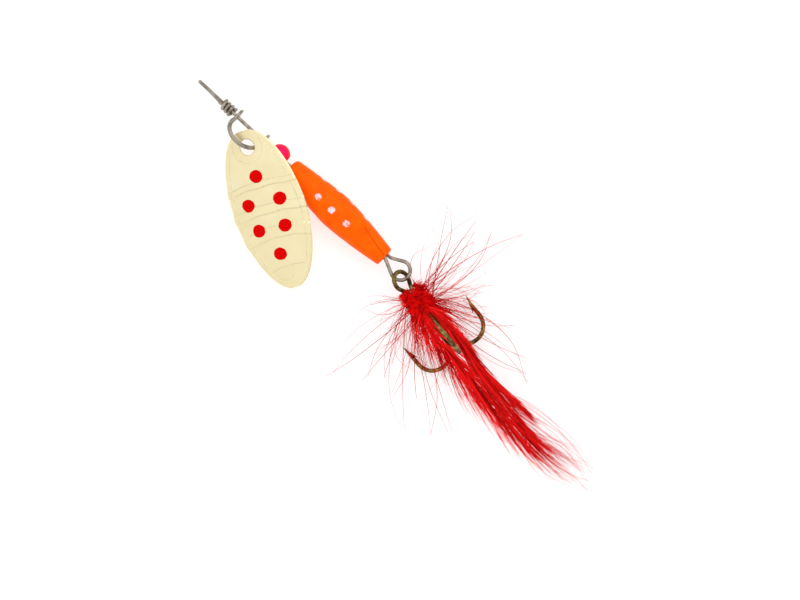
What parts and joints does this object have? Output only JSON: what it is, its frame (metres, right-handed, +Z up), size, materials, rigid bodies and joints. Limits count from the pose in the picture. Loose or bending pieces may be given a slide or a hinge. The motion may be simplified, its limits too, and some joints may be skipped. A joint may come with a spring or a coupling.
{
  "type": "inline spinner",
  "caption": "Inline spinner: an oval blade on a clevis that turns round a wire shaft, a bearing bead, a spindle body and a treble hook dressed with hackle and feathers.",
  "frame": {"origin": "centre of the lure's box on the surface that it lies on", "axes": "+X along the shaft from the line eye towards the tail, +Z up from the surface, +Y to the left seen from above with +X forward"},
  "size_m": [0.1182, 0.0342, 0.0151],
  "materials": {
    "stainless_wire": "drawn stainless wire, satin, with a warm grey sheen",
    "gold_blade": "pale gold plate, polished, with painted fluorescent red dots",
    "pink_bead": "fluorescent pink-red, moulded and glossy",
    "orange_body": "fluorescent orange lacquer with chipped pale pink dots",
    "brass_core": "bare turned brass, hidden inside the body",
    "bronze_hook": "bronzed hook wire, semi-gloss",
    "red_thread": "waxed tying thread, dark red",
    "red_hackle": "dyed cock hackle, scarlet with darker roots",
    "red_feather": "dyed feather vanes, scarlet"
  },
  "bodies": {
    "shaft": {"shaft_wire": "stainless_wire"},
    "clevis": {"clevis": "stainless_wire"},
    "blade": {"blade": "gold_blade"},
    "bead": {"bead": "pink_bead"},
    "core": {"body_weight": "brass_core"},
    "body": {"body_shell": "orange_body"},
    "treble": {"hook_pair": "bronze_hook", "hook_third": "bronze_hook", "thread_wraps": "red_thread", "hackle_collar": "red_hackle", "hackle_fan": "red_hackle", "tail_feather_1": "red_feather", "tail_feather_2": "red_feather", "tail_feather_3": "red_feather", "tail_feather_4": "red_feather"}
  },
  "joints": [
    {"name": "clevis_spin", "type": "hinge", "parent": "shaft", "child": "clevis", "pos_m": [-0.04417, 0.00281, 0.00376], "axis": [1, 0, 0], "continuous": true},
    {"name": "blade_swing", "type": "hinge", "parent": "clevis", "child": "blade", "pos_m": [-0.04417, 0.00156, 0.00506], "axis": [0, -0.7193, -0.6947], "range_deg": [0, 85]},
    {"name": "bead_spin", "type": "hinge", "parent": "shaft", "child": "bead", "pos_m": [-0.03597, 0.00311, 0.00376], "axis": [1, 0, 0], "continuous": true},
    {"name": "body_slide", "type": "slide", "parent": "shaft", "child": "core", "axis": [1, 0, 0], "range_m": [-0.0012, 0]},
    {"name": "body_spin", "type": "hinge", "parent": "core", "child": "body", "pos_m": [-0.01887, 0.00257, 0.00376], "axis": [1, 0, 0], "continuous": true},
    {"name": "hook_swing", "type": "hinge", "parent": "shaft", "child": "treble", "pos_m": [-0.00081, 0.00281, 0.00376], "axis": [0, 0, 1], "range_deg": [-45, 60]}
  ]
}
